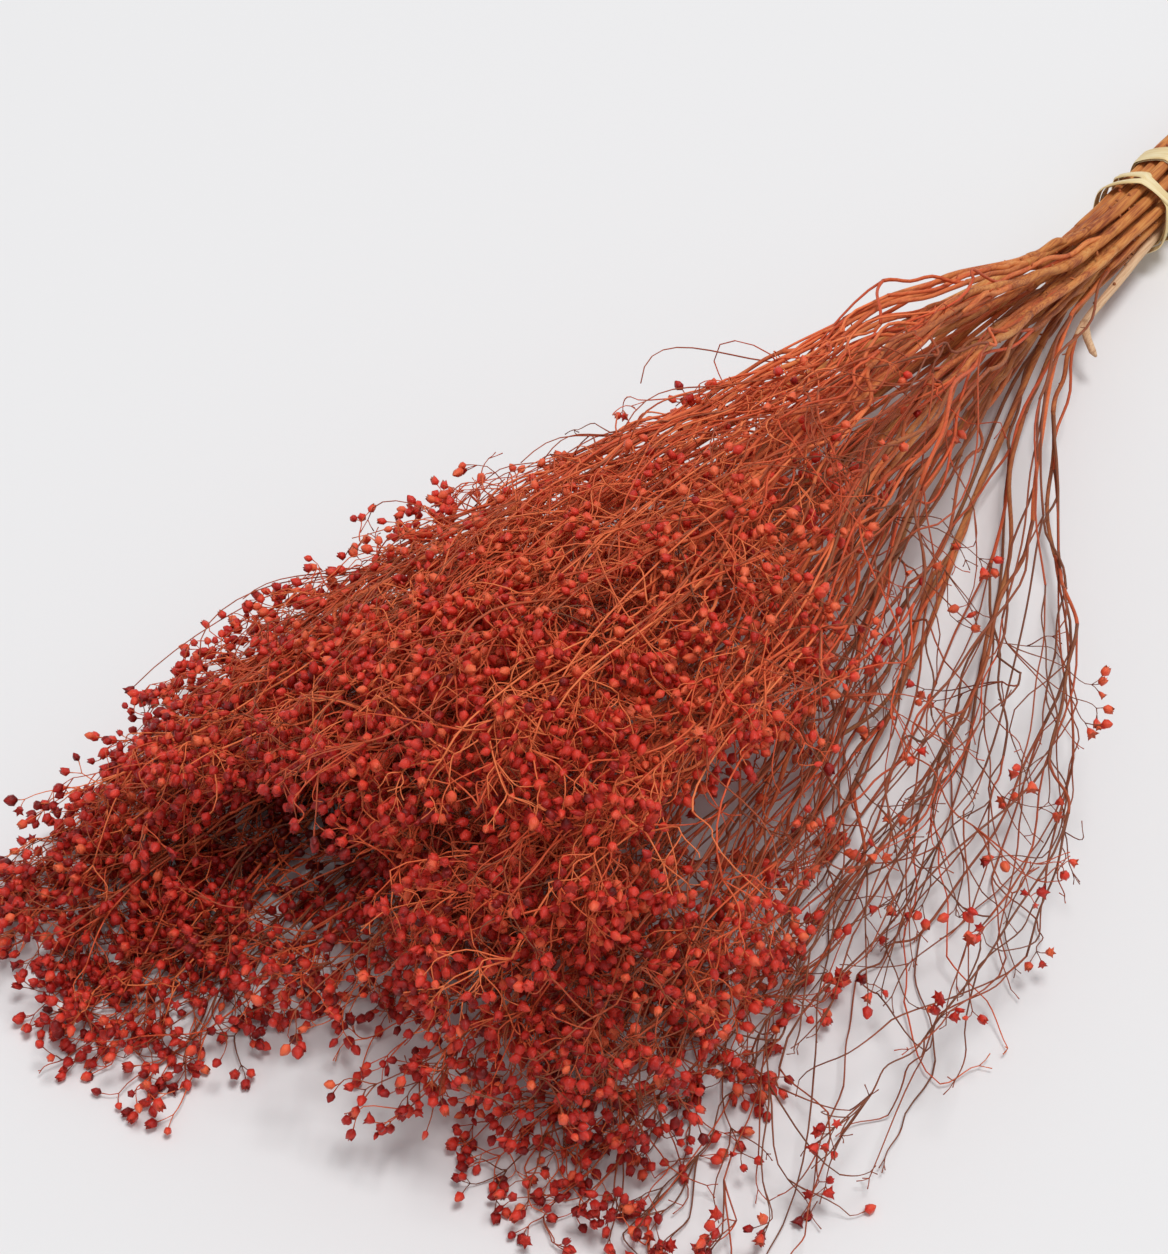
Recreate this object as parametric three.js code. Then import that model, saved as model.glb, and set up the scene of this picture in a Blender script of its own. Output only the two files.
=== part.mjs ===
// A tied bunch of dyed, dried broom bloom lying on its side. Millimetres, +Z up, +X towards the butts.
//
// Each spray is one stem that opens into a plume of fine twigs. Its solid is the outer shape of that
// plume, drawn out of the stem. The stems stand in a close hexagon at the tie, and one fan-out map
// carries that hexagon along the bunch, so neighbours part without ever crossing.
//
// s is the distance from the tie towards the seed tips, so x = -s. u and v are the place of a stem
// in the hexagon, in stem pitches: u across the bunch, v upwards.
import * as THREE from "three";

const BUTT_LENGTH = 95;
const STEM_PITCH = 5.2;
const STEM_RADIUS = 2.3;
const BUNDLE_RADIUS = 2 * STEM_PITCH + STEM_RADIUS;
const TIE_HEIGHT = 20;
const PLUME_HEIGHT = 56;
const FAN_PITCH = 55;
const FAN_START = 30;
const FAN_END = 360;
const BUNDLE_TWIST = 0.5;
const EDGE_SAG = 0.4;
const FRONT_SWING = 8;
const HEX_ROW = Math.sqrt(3) / 2;
const HEX_HALF_HEIGHT = 2 * HEX_ROW + 0.5;
const CELL_RADIUS = 0.475;

const SECTION_SIDES = 10;
const STEM_STATIONS = 7;
const PLUME_STATIONS = 11;
const BRANCH_START = 45;
const BRANCH_FULL = 230;
const TIP_TAPER = 110;
const TIP_ROUNDNESS = 0.3;
const TUFT_DEPTH = 0.07;

// One row of the hexagon per line, from the table upwards: row number, first column, and how far
// each spray of the row reaches from the tie, from the loose front side to the back.
const ROWS = [
  { row: -2, first: -1, reach: [474, 452, 506] },
  { row: -1, first: -1.5, reach: [464, 474, 478, 506] },
  { row: 0, first: -2, reach: [430, 468, 470, 456, 500] },
  { row: 1, first: -1.5, reach: [408, 462, 440, 464] },
  { row: 2, first: -1, reach: [424, 446, 396] },
];

const DYED_STEM = 0xa8492a;
const LOOSE_STEM = 0x8f4a2c;
const SEED_RED = 0xb03a20;
const RAFFIA_CREAM = 0xebd7a5;

function smooth(from, to, x) {
  return THREE.MathUtils.smoothstep(x, from, to);
}

// Distance across the bunch between neighbouring stems, at distance s from the tie.
function fanPitch(s) {
  return THREE.MathUtils.lerp(STEM_PITCH, FAN_PITCH, smooth(FAN_START, FAN_END, s));
}

// Where the point (u, v) of the hexagon lies at distance s from the tie. The hexagon is twisted a
// little at the butts, widens to the fan, sags at its edges, and never goes below the table.
function fanOut(s, u, v) {
  const turn = BUNDLE_TWIST * (1 - smooth(-20, 170, s));
  const across = u * Math.cos(turn) - v * Math.sin(turn);
  const up = u * Math.sin(turn) + v * Math.cos(turn);
  const buttDrop = (TIE_HEIGHT - BUNDLE_RADIUS) * smooth(0, BUTT_LENGTH, -s);
  const middle = TIE_HEIGHT - buttDrop + (PLUME_HEIGHT - TIE_HEIGHT) * smooth(0, 250, s);
  const open = smooth(0, 160, s);
  const pitchZ = THREE.MathUtils.lerp(STEM_PITCH, middle / HEX_HALF_HEIGHT, open);
  const sag = EDGE_SAG * across * across * open;
  const y = across * fanPitch(s) - FRONT_SWING * smooth(100, 260, s);
  const z = middle + (up - sag) * pitchZ;
  return new THREE.Vector3(-s, y, Math.max(z, 0));
}

// Radius of a spray at distance s, in stem pitches: a plain stem up to the first forks, then the
// widening plume, then a rounded tip.
function sprayRadius(s, reach) {
  const thin = STEM_RADIUS / fanPitch(s);
  const body = THREE.MathUtils.lerp(thin, CELL_RADIUS, smooth(BRANCH_START, BRANCH_FULL, s));
  const past = THREE.MathUtils.clamp((s - (reach - TIP_TAPER)) / TIP_TAPER, 0, 1);
  return body * Math.max(Math.sqrt(1 - past * past), TIP_ROUNDNESS);
}

// A closed skin over a list of equal rings, with a flat fan over each end.
function skin(rings) {
  const sides = rings[0].length;
  const points = rings.flat();
  const triangles = [];
  for (let ring = 0; ring + 1 < rings.length; ring += 1) {
    for (let side = 0; side < sides; side += 1) {
      const a = ring * sides + side;
      const b = ring * sides + (side + 1) % sides;
      triangles.push(a, b, b + sides, a, b + sides, a + sides);
    }
  }
  const ends = [[rings[0], 0, true], [rings.at(-1), (rings.length - 1) * sides, false]];
  for (const [ring, offset, first] of ends) {
    const middle = points.length;
    points.push(ring.reduce((sum, p) => sum.add(p), new THREE.Vector3()).divideScalar(sides));
    for (let side = 0; side < sides; side += 1) {
      const a = offset + side;
      const b = offset + (side + 1) % sides;
      triangles.push(...(first ? [middle, b, a] : [middle, a, b]));
    }
  }
  const geometry = new THREE.BufferGeometry().setFromPoints(points);
  geometry.setIndex(triangles);
  geometry.computeVertexNormals();
  return geometry;
}

// Stem and plume of one spray: rings at rising s, each a circle in the hexagon's own plane.
function sprayGeometry(u, v, reach, number) {
  const butt = -BUTT_LENGTH + 4 * Math.sin(2.4 * number);
  const stations = [];
  for (let i = 0; i < STEM_STATIONS; i += 1) {
    stations.push(THREE.MathUtils.lerp(butt, 70, i / STEM_STATIONS));
  }
  for (let i = 0; i <= PLUME_STATIONS; i += 1) {
    const t = i / PLUME_STATIONS;
    stations.push(THREE.MathUtils.lerp(70, reach, 1 - (1 - t) ** 1.35));
  }
  const rings = stations.map((s) => {
    const radius = sprayRadius(s, reach);
    const lumps = TUFT_DEPTH * smooth(BRANCH_START, BRANCH_FULL, s);
    return Array.from({ length: SECTION_SIDES }, (_, side) => {
      const angle = -2 * Math.PI * side / SECTION_SIDES;
      const r = radius * (1 - lumps * (1 + Math.cos(3 * angle + number)));
      return fanOut(s, u + r * Math.cos(angle), v + r * Math.sin(angle));
    });
  });
  return skin(rings);
}

// Flat raffia wound round the bundle. turns is the number of times round, sway how far it wanders
// along the bunch, drift how far each turn steps on, and the radius grows by one layer each turn.
const RAFFIA_LAYER = 0.85;
const RAFFIA_CLEARANCE = 0.5;
const RAFFIA_STEPS_PER_TURN = 28;

function raffiaGeometry({ middle, turns, sway, drift, width, thickness, startAngle, innerLayer }) {
  const steps = Math.round(turns * RAFFIA_STEPS_PER_TURN);
  const rings = [];
  for (let i = 0; i <= steps; i += 1) {
    const round = turns * i / steps;
    const angle = startAngle + 2 * Math.PI * round;
    const s = middle + sway * Math.sin(Math.PI * round) + drift * (round - turns / 2);
    const inner = BUNDLE_RADIUS + RAFFIA_CLEARANCE + RAFFIA_LAYER * (innerLayer + round);
    const centre = fanOut(s, 0, 0);
    const out = new THREE.Vector3(0, Math.cos(angle), Math.sin(angle));
    const corner = (radius, along) => centre.clone().addScaledVector(out, radius)
      .add(new THREE.Vector3(along, 0, 0));
    rings.push([
      corner(inner, -width / 2),
      corner(inner, width / 2),
      corner(inner + thickness, width / 2),
      corner(inner + thickness, -width / 2),
    ]);
  }
  return skin(rings);
}

function solid(name, geometry, color, roughness) {
  const material = new THREE.MeshStandardMaterial({ color, roughness, metalness: 0 });
  const mesh = new THREE.Mesh(geometry, material);
  mesh.name = name;
  return mesh;
}

const bunch = new THREE.Group();

let number = 0;
for (const { row, first, reach } of ROWS) {
  for (const [column, length] of reach.entries()) {
    number += 1;
    const u = first + column;
    const colour = new THREE.Color(u < -1 ? LOOSE_STEM : DYED_STEM).lerp(new THREE.Color(SEED_RED), 0.6);
    const name = `spray_${String(number).padStart(2, "0")}`;
    bunch.add(solid(name, sprayGeometry(u, row * HEX_ROW, length, number), colour, 0.6));
  }
}

bunch.add(solid("raffia_band", raffiaGeometry({
  middle: -20, turns: 2.4, sway: 0.8, drift: 0.6, width: 9, thickness: 0.5,
  startAngle: 2.2, innerLayer: 0,
}), RAFFIA_CREAM, 0.55));
bunch.add(solid("raffia_tie", raffiaGeometry({
  middle: 0, turns: 3.6, sway: 6.5, drift: 1.2, width: 2.6, thickness: 0.5,
  startAngle: 1.9, innerLayer: 0,
}), RAFFIA_CREAM, 0.55));

const box = new THREE.Box3().setFromObject(bunch);
const centre = box.getCenter(new THREE.Vector3());
bunch.position.set(-centre.x, -centre.y, -box.min.z);

export default bunch;
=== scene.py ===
import bpy
import numpy as np
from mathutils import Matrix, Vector


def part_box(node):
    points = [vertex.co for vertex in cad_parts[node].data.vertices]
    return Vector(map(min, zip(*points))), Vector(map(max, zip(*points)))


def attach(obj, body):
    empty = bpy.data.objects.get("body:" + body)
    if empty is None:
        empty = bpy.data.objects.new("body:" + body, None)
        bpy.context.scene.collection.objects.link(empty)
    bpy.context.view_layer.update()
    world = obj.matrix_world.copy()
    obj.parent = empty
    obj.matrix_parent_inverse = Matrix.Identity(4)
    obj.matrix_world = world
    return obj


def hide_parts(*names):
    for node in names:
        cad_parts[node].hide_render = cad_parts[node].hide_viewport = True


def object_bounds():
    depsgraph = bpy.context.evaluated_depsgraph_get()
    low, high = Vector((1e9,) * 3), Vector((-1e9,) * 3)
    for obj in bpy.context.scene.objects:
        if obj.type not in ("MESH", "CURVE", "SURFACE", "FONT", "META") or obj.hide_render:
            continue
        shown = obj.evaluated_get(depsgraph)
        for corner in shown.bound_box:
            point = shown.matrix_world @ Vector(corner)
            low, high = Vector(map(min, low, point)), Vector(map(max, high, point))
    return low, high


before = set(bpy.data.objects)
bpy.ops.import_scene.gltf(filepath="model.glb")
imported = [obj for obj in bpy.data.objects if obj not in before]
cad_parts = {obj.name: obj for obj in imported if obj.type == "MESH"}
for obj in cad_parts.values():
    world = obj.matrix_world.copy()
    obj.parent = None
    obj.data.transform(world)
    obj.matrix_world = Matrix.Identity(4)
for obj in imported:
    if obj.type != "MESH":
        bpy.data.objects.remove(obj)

cad_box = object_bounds()
draw = np.random.default_rng(20)


# ---- How the sprays lie ------------------------------------------------------------------------
# A cut spray of broom bloom is one woody stem that opens into a plume of twigs. The bunch lies on
# its side, so the low sprays are pressed flat, and each spray keeps to its own part of the fan.

MM = 0.001
BLUNT = 0.85
NEXT_RING = 1.0 * MM
LOOSE = 5.0 * MM
LOOSEST = (140 * MM, 60 * MM)

tie_low, tie_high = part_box("raffia_tie")
TIE_X = (tie_low[0] + tie_high[0]) / 2
STEM_RADIUS = 2.3 * MM


def bell(x, middle, width):
    """Bell curve of x: e to the power of minus the square of (x - middle) / width."""
    return np.exp(-(((x - middle) / width) ** 2))


def spray_course(node):
    """Rings of a spray's solid: points whose x differs by less than 1 mm are one ring. Gives for each
    ring, from butt to tip, its distance s from the tie, its middle (y, z) and its half sizes (y, z).
    Past the widest ring the half sizes stay above BLUNT of its own, and a bell curve of s adds up to
    LOOSE where the stems part."""
    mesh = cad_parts[node].data
    points = np.empty(3 * len(mesh.vertices), np.float32)
    mesh.vertices.foreach_get("co", points)
    points = points.reshape(-1, 3).astype(float)
    points = points[np.argsort(-points[:, 0])]
    breaks = np.flatnonzero(np.diff(points[:, 0]) < -NEXT_RING) + 1
    rings = np.split(points, breaks)
    low = np.array([ring.min(0) for ring in rings])
    high = np.array([ring.max(0) for ring in rings])
    s = TIE_X - (low[:, 0] + high[:, 0]) / 2
    middle = (low[:, 1:] + high[:, 1:]) / 2
    half = (high[:, 1:] - low[:, 1:]) / 2
    widest = half[:, 0].argmax()
    half[widest:] = np.maximum(half[widest:], BLUNT * half[widest])
    half += LOOSE * bell(s, *LOOSEST)[:, None]
    return s, middle, half


def cubic(t, start, end, leave, arrive):
    """Cubic from start at t = 0, where its slope is leave, to end at t = 1, where its slope is arrive."""
    there, back = t * t * (3 - 2 * t), (1 + 2 * t) * (1 - t) ** 2
    return start * back + end * there + leave * t * (1 - t) ** 2 - arrive * t * t * (1 - t)


def ease(stations, values, s):
    """Cubic between stations: at each station the slope is the mean slope of its two neighbours, and
    past either end the last slope goes on."""
    slope = np.gradient(values, stations, axis=0)
    inside = np.clip(s, stations[0], stations[-1])
    k = np.clip(np.searchsorted(stations, inside) - 1, 0, len(stations) - 2)
    step = stations[k + 1] - stations[k]
    t = ((inside - stations[k]) / step)[..., None]
    step = step[..., None]
    curve = cubic(t, values[k], values[k + 1], slope[k] * step, slope[k + 1] * step)
    past = (s - inside)[..., None]
    return curve + np.where(past > 0, slope[-1], slope[0]) * past


def place(course, s, across):
    """The point at distance s from the tie and at `across`, which is (0, 0) on the spray's middle line
    and (1, 0) or (0, 1) on its side or top: x is the tie's less s, and (y, z) is middle + half * across."""
    stations, middle, half = course
    size = ease(stations, half, np.minimum(s, stations[-1]))
    yz = ease(stations, middle, s) + size * across
    return np.concatenate([(TIE_X - s)[..., None], yz], axis=-1)


SPRAY_COUNT = 19
OUTLINE_S = np.arange(0, 520, 5) * MM


def outline_of_bunch():
    """Front, back and top of the bunch at each OUTLINE_S: the least y, greatest y and greatest z of all
    the sprays' solids that reach so far, each a middle less or plus a half size."""
    rows = []
    for number in range(1, SPRAY_COUNT + 1):
        stations, middle, half = spray_course(f"spray_{number:02d}")
        there = OUTLINE_S <= stations[-1]
        low, high = ease(stations, middle - half, OUTLINE_S), ease(stations, middle + half, OUTLINE_S)
        found = np.stack([-low[:, 0], high[:, 0], high[:, 1]])
        rows.append(np.where(there, found, -1))
    front, back, top = np.max(rows, axis=0)
    return -front, back, top


FRONT, BACK, TOP = outline_of_bunch()

# Outlines inside the bunch: (s, y) of the front and back edge of its dense part, (s, height along
# RIM_UP) of its back upper edge, and (y, s) of its tips, with a notch between the two lobes at y = 22.
FRONT_EDGE = np.array([[200, 5], [240, -15], [270, -32], [305, -40],
                       [345, -68], [400, -88], [430, -106], [470, -112]]) * MM
BACK_EDGE = np.array([[160, 0], [221, 45], [260, 75], [300, 105], [340, 125], [520, 135]]) * MM
RIM_UP = np.array([0.0, 0.44, 0.68])
RIM = np.array([[60, 27], [100, 42], [126, 52], [166, 62], [221, 69], [284, 77], [520, 80]]) * MM
TIPS = np.array([[-118, 436], [-103, 447], [-82, 453], [-67, 461], [-39, 468], [-23, 472], [8, 470],
                 [22, 454], [30, 484], [39, 503], [68, 518], [89, 509], [135, 490]]) * MM


# ---- How a spray branches ----------------------------------------------------------------------
# The stem forks in two again and again, each fork sharing out the tufts beyond it, and the wood
# thins at every fork. A tuft is a small loose panicle that ends in stalks with one capsule each.

TWIG_RADIUS = 0.29 * MM
THINNING = 0.445
LOWEST = 2.0 * MM
TABLE_GAP = 0.3 * MM
TUFT_REACH = 30.0 * MM
INSET = 6.0 * MM
ASTRAY = 12.0 * MM
BACKWARD = 12.0 * MM

# No shoot ends outside these corners, a few millimetres past the solids on the plume's three sides.
OUTER_LOW = np.array([-0.306, -0.141, 0.001])
OUTER_HIGH = np.array([0.30, 0.136, 0.113])

LONG_BOW = 330.0 * MM
ARCH = (0.95, 0.45)
EDGE_SLACK = 4.0 * MM


def unit(v):
    """v divided by its length."""
    return v / np.maximum(np.linalg.norm(v, axis=-1, keepdims=True), 1e-9)


def square_to(way):
    """Two directions square to each way and to each other: its cross product with the axis that it
    leans on least, and its cross product with that."""
    least = np.eye(3)[np.abs(way).argmin(1)]
    side = unit(np.cross(way, least))
    return side, np.cross(way, side)


GOLDEN_ANGLE = 2.4


def scatter_tufts(tufts, begin, reach, outward):
    """Places (s, across y, across z) of the tufts: even steps of s that shorten towards the tips, and a
    golden-angle spiral whose radius is drawn so that it fills a disc, moved to the bunch's outside."""
    step = (np.arange(tufts) + draw.random(tufts)) / tufts
    s = begin + (reach - TUFT_REACH - begin) * step ** 0.7
    turn = GOLDEN_ANGLE * np.arange(tufts) + draw.normal(0, 0.5, tufts)
    out = 0.95 * draw.random(tufts) ** 0.45
    lean = 0.22 * np.asarray(outward)
    across = np.stack([out * np.cos(turn) + lean[0], out * np.sin(turn) + lean[1]], 1)
    return np.concatenate([s[:, None], across], 1)


def fork(ends, first_fork, ramble):
    """Shares the tufts out between forks. A group of tufts is cut in two across the way in which it
    spreads most, and each part gets a fork on the way to its nearest tuft, off its line by ramble.
    Gives, for each fork and end, its place in the spray, its parent and the number of tufts beyond."""
    places, parents, loads = [], [], []
    waiting = [(np.arange(len(ends)), -1, first_fork, ends[:, 1:].mean(0) * 0.15)]
    scale = np.array([60 * MM, 1.0, 0.8])
    while waiting:
        group, parent, s, across = waiting.pop()
        here = len(places)
        places.append([s, *across])
        parents.append(parent)
        loads.append(len(group))
        if len(group) == 1:
            places[here] = list(ends[group[0]])
            continue
        spread = ends[group] / scale
        spread = spread - spread.mean(0)
        way = np.linalg.svd(spread, full_matrices=False)[2][0] + 0.35 * draw.normal(size=3)
        order = group[np.argsort(spread @ way)]
        cut = int(np.clip(round(len(group) * draw.uniform(0.15, 0.6)), 1, len(group) - 1))
        for part in (order[:cut], order[cut:]):
            nearest = ends[part, 0].min()
            forks_left = 1 + 0.16 * np.log2(len(part) + 1) ** 2
            step = draw.uniform(0.5, 1.5) / forks_left * max(nearest - s, 12 * MM)
            share = np.clip(step / max(ends[part, 0].mean() - s, 1 * MM), 0, 1)
            aim = across + (ends[part, 1:].mean(0) - across) * min(1.15 * share, 1)
            waiting.append((part, here, s + step, aim + ramble * draw.normal(size=2)))
    return np.array(places), np.array(parents), np.array(loads)


def curves(start, end, start_way, end_way, steps):
    """A cubic from start to end that leaves along start_way and arrives along end_way, both as long as
    the chord, taken at steps + 1 even points. One row for each twig."""
    chord = np.linalg.norm(end - start, axis=1)[:, None, None]
    t = np.linspace(0, 1, steps + 1)[None, :, None]
    return cubic(t, start[:, None], end[:, None], start_way[:, None] * chord, end_way[:, None] * chord)


def wander(paths, amount):
    """Paths moved sideways by a sine wave of 0.4 to 1.3 turns. Its height is amount times the square
    root of each chord in metres, and it fades to nothing at both ends."""
    t = np.linspace(0, 1, paths.shape[1])[None, :, None]
    chord = np.linalg.norm(paths[:, -1] - paths[:, 0], axis=1)[:, None, None]
    turns = draw.uniform(0.4, 1.3, (len(paths), 1, 1))
    start = draw.random((len(paths), 1, 1))
    side = draw.normal(size=(len(paths), 1, 3)) * (0.2, 1, 1)
    wave = np.sin(2 * np.pi * (turns * t + start)) * np.sin(np.pi * t) ** 2
    return paths + side * amount * np.sqrt(chord) * wave


def room(points, reach, slack, loose):
    """Lowest and highest corner that twigs near each point may reach: the outline of the bunch there,
    moved in by INSET and out by slack, the table, the tips, and the spray's reach. The top falls by
    ARCH times the square of the way out to the front or the back. Loose ones may go ASTRAY to the
    front, and the others also keep inside the front and back edge. None goes back towards the tie
    by more than BACKWARD."""
    s = TIE_X - points[:, 0]
    front, back = np.interp(s, OUTLINE_S, FRONT), np.interp(s, OUTLINE_S, BACK)
    out = (2 * points[:, 1] - front - back) / (back - front)
    top = np.interp(s, OUTLINE_S, TOP) * (1 - np.where(out > 0, *ARCH) * out ** 2)
    dense_front = np.maximum(front, np.interp(s, *FRONT_EDGE.T) - EDGE_SLACK - INSET)
    front = np.where(loose, np.where(s < LONG_BOW, front - ASTRAY, front), dense_front)
    back = np.where(loose, back, np.minimum(back, np.interp(s, *BACK_EDGE.T) + INSET))
    top = np.maximum(top - INSET + slack, 2 * LOWEST)
    reach = np.minimum(reach, np.interp(points[:, 1], *TIPS.T))
    low = np.stack([TIE_X - reach - slack, front + INSET - slack, np.full(len(s), LOWEST)], 1)
    return low, np.stack([points[:, 0] + BACKWARD, back - INSET + slack, top], 1)


# Two gaps in the plume, both slanting towards the front and the tips: a hollow between the two lobes,
# and a threadbare bay where the big lobe's front side is worn.
SLANT = np.array([-0.745, -0.56])
HOLLOW_MIDDLE = np.array([TIE_X - 0.421, 0.055, 0.030])
HOLLOW_SIZE = np.array([0.019, 0.024])
HOLLOW_FLOOR = 0.020
BAY_MIDDLE = np.array([TIE_X - 0.328, -0.034, 0.030])
BAY_SIZE = np.array([0.027, 0.018])
BAY_BARE = 0.58


def off_middle(points, middle, size):
    """Distance from the middle line of a tube that slants up to the front and the tips. It is 1 at the
    wall, an ellipse of the given half sizes at every height."""
    aside = (points - middle)[:, :2] - SLANT * (points - middle)[:, 2:]
    return np.linalg.norm(aside / size, axis=1)


def in_hollow(points):
    """Whether points lie in the hollow between the two lobes of the bunch, above its floor."""
    return (off_middle(points, HOLLOW_MIDDLE, HOLLOW_SIZE) < 1) & (points[:, 2] > HOLLOW_FLOOR)


def broken_off(points):
    """Whether a shoot that would end at each point is missing: all of them in the hollow, and a share
    BAY_BARE in the threadbare bay on the front side of the big lobe."""
    bay = off_middle(points, BAY_MIDDLE, BAY_SIZE) < 1
    return in_hollow(points) | (bay & (draw.random(len(points)) < BAY_BARE))


def hollow_painted_shade(points):
    """Painted shade in the hollow between the two lobes: how bright the capsules' colour stays at each
    point, from 1 outside the hollow down to 0 inside it: 1 less e to the power of minus the fourth power of
    the distance over 1.25."""
    return 1 - np.exp(-((off_middle(points, HOLLOW_MIDDLE, HOLLOW_SIZE) / 1.25) ** 4))


def sprout(base, lead, counts, tilt, spread, length, low, high):
    """Shoots from each twig end: counts of them, turned evenly round the lead and tilted off it, with
    the tilts scaled by spread, each bent back into its room and under the rim. Broken ones are left
    out. Gives the twig end that each comes from, the way it points and its tip."""
    low, high = np.minimum(low, base), np.maximum(high, base)
    owner = np.repeat(np.arange(len(base)), counts)
    rank = np.arange(len(owner)) - np.repeat(np.cumsum(counts) - counts, counts)
    side, up = square_to(lead[owner])
    first = 2 * np.pi * draw.random(len(base))[owner]
    turn = first + 2 * np.pi * rank / counts[owner] + draw.normal(0, 0.4, len(owner))
    off = np.abs(draw.normal(*tilt, len(owner))) * spread[owner]
    aim = lead[owner] * np.cos(off)[:, None]
    aim += (side * np.cos(turn)[:, None] + up * np.sin(turn)[:, None]) * np.sin(off)[:, None]
    far = length[:, None]
    aim = unit(np.clip(aim * far, low[owner] - base[owner], high[owner] - base[owner]) + aim * 0.1 * far)
    tips = np.clip(base[owner] + aim * far, low[owner], high[owner])
    tips = np.clip(under_rim(tips, np.abs(draw.normal(0, 3 * MM, len(tips)))), OUTER_LOW, OUTER_HIGH)
    clear = ~broken_off(tips)
    return owner[clear], aim[clear], tips[clear]


def under_rim(points, over):
    """Points moved straight down to the back upper edge of the bunch, where they stand out of it by
    more than `over`: the part of the way RIM_UP past RIM there is taken off."""
    past = points @ RIM_UP - np.interp(TIE_X - points[:, 0], *RIM.T) - over
    return points - np.maximum(past, 0)[:, None] * RIM_UP / (RIM_UP @ RIM_UP)


def tube(paths, radii, sides):
    """Rings round paths of (twigs, points, 3): each ring is a circle of the given radius square to the
    path, turned so that its first side faces the same way all along."""
    way = unit(np.gradient(paths, axis=1))
    chord = unit(paths[:, -1] - paths[:, 0])
    least = np.eye(3)[np.abs(chord).argmin(1)][:, None]
    side = unit(least - (least * way).sum(-1, keepdims=True) * way)
    up = np.cross(way, side)
    angle = 2 * np.pi * np.arange(sides) / sides
    circle = side[:, :, None] * np.cos(angle)[:, None] + up[:, :, None] * np.sin(angle)[:, None]
    return paths[:, :, None] + circle * radii[:, :, None, None]


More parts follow.
